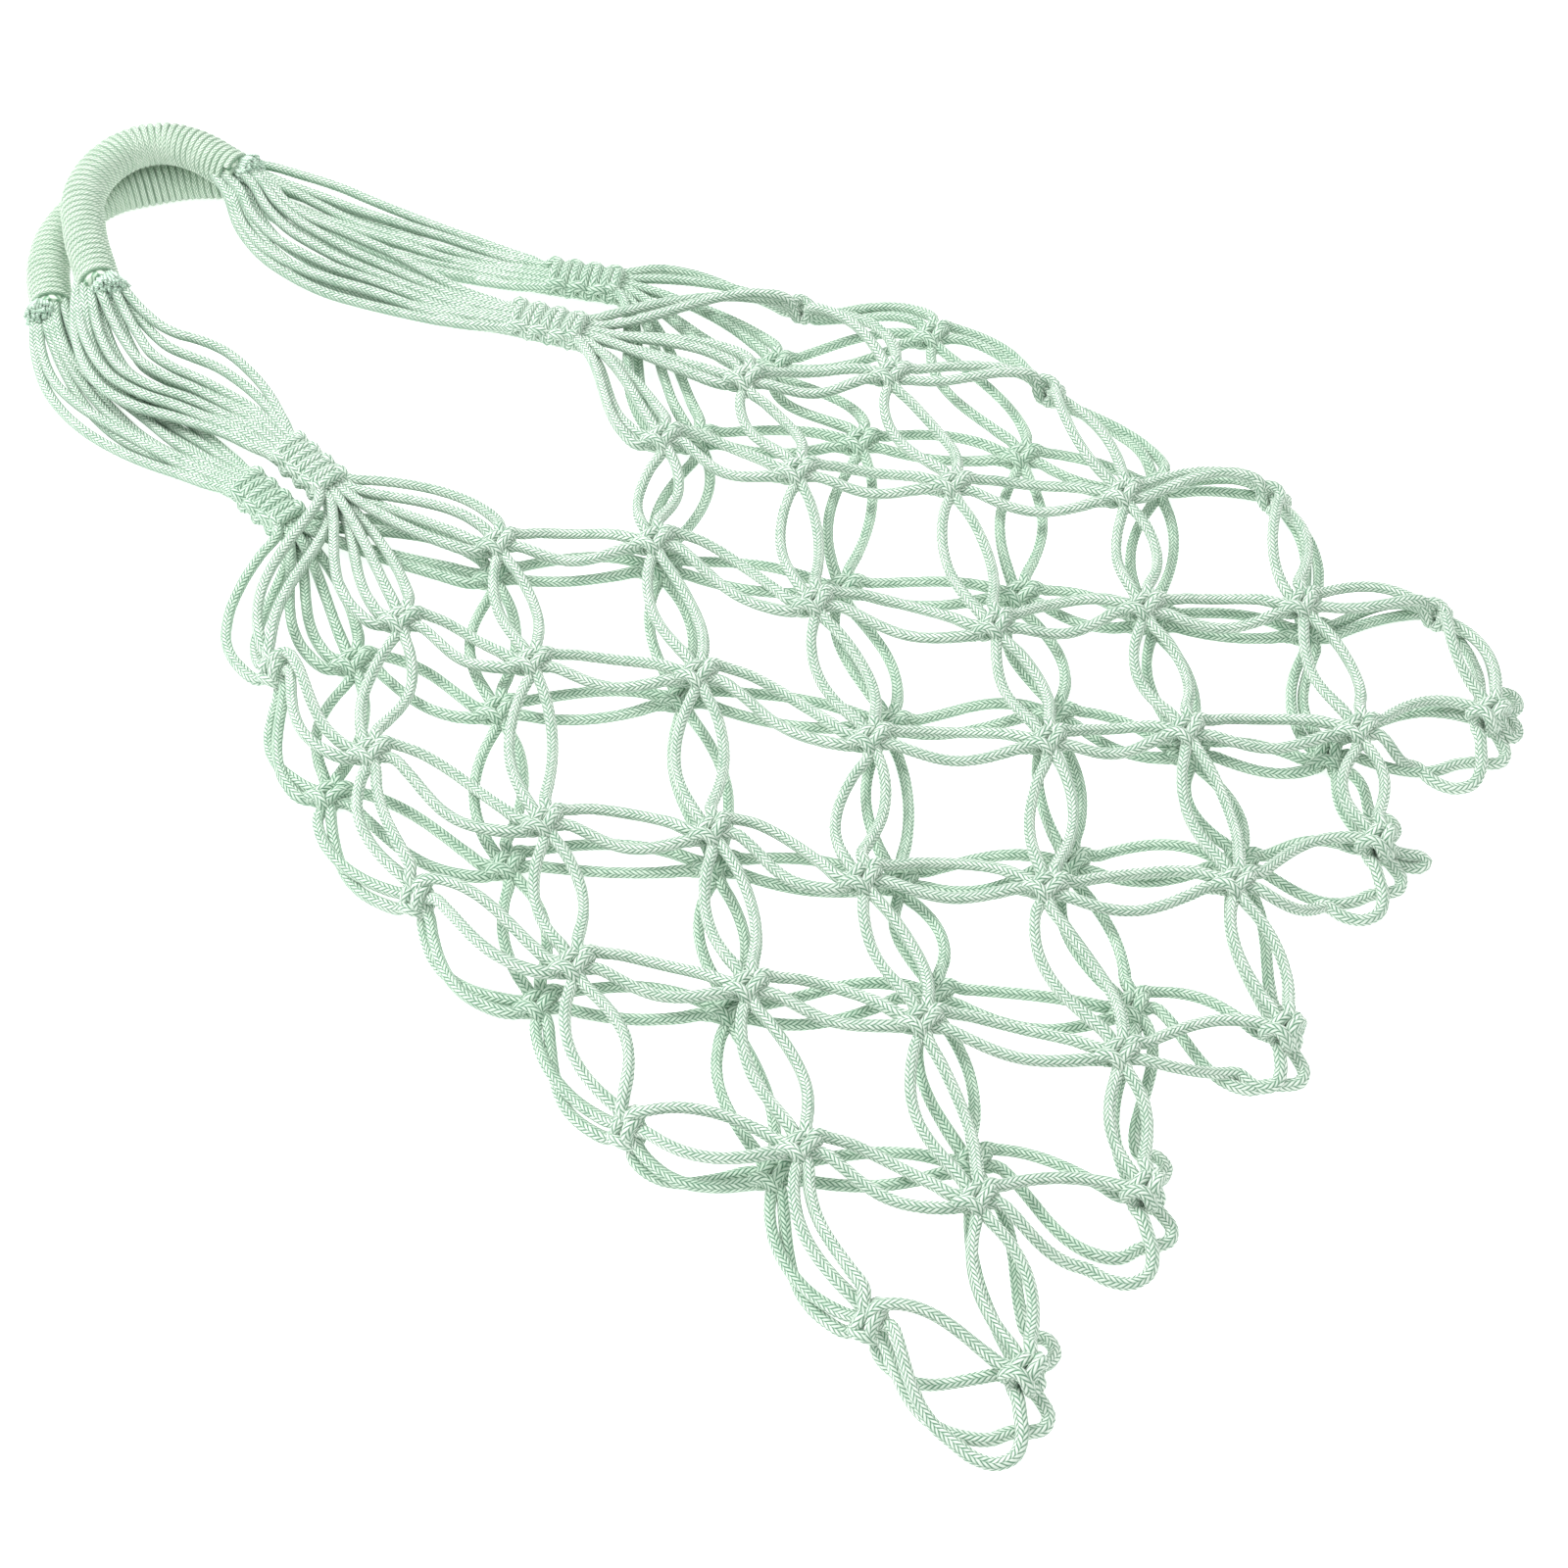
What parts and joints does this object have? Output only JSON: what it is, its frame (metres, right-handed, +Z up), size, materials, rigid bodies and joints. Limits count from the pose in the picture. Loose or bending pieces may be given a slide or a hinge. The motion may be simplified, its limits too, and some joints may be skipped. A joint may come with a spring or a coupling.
{
  "type": "mesh produce bag",
  "caption": "Knotted net bag of braided mint green cord with two wound grips, lying flat, that carries produce and stretches round it.",
  "frame": {"origin": "middle of the underside's bounding box, on the surface that the bag lies on", "axes": "+Y along the bag towards the grips, +X to the right seen from above, +Z up through the two layers of net"},
  "size_m": [0.4008, 0.6894, 0.0376],
  "materials": {
    "net_cord": "braided cotton cord, matt",
    "grip_cord": "closely wound cotton cord, matt"
  },
  "bodies": {
    "root": {"net_front": "net_cord", "net_back": "net_cord", "fold_knot_left_1": "net_cord", "fold_knot_left_2": "net_cord", "fold_knot_left_3": "net_cord", "fold_knot_left_4": "net_cord", "fold_knot_right_1": "net_cord", "fold_knot_right_2": "net_cord", "fold_knot_right_3": "net_cord", "fold_knot_right_4": "net_cord", "bottom_knot_1": "net_cord", "bottom_knot_2": "net_cord", "bottom_knot_3": "net_cord", "bottom_knot_4": "net_cord", "bottom_knot_5": "net_cord", "fan_front_left": "net_cord", "fan_front_right": "net_cord", "fan_back_left": "net_cord", "fan_back_right": "net_cord", "gather_front_left": "net_cord", "gather_front_right": "net_cord", "gather_back_left": "net_cord", "gather_back_right": "net_cord", "strands_front_left": "net_cord", "strands_front_right": "net_cord", "strands_back_left": "net_cord", "strands_back_right": "net_cord", "grip_front": "grip_cord", "grip_back": "grip_cord"}
  },
  "joints": []
}
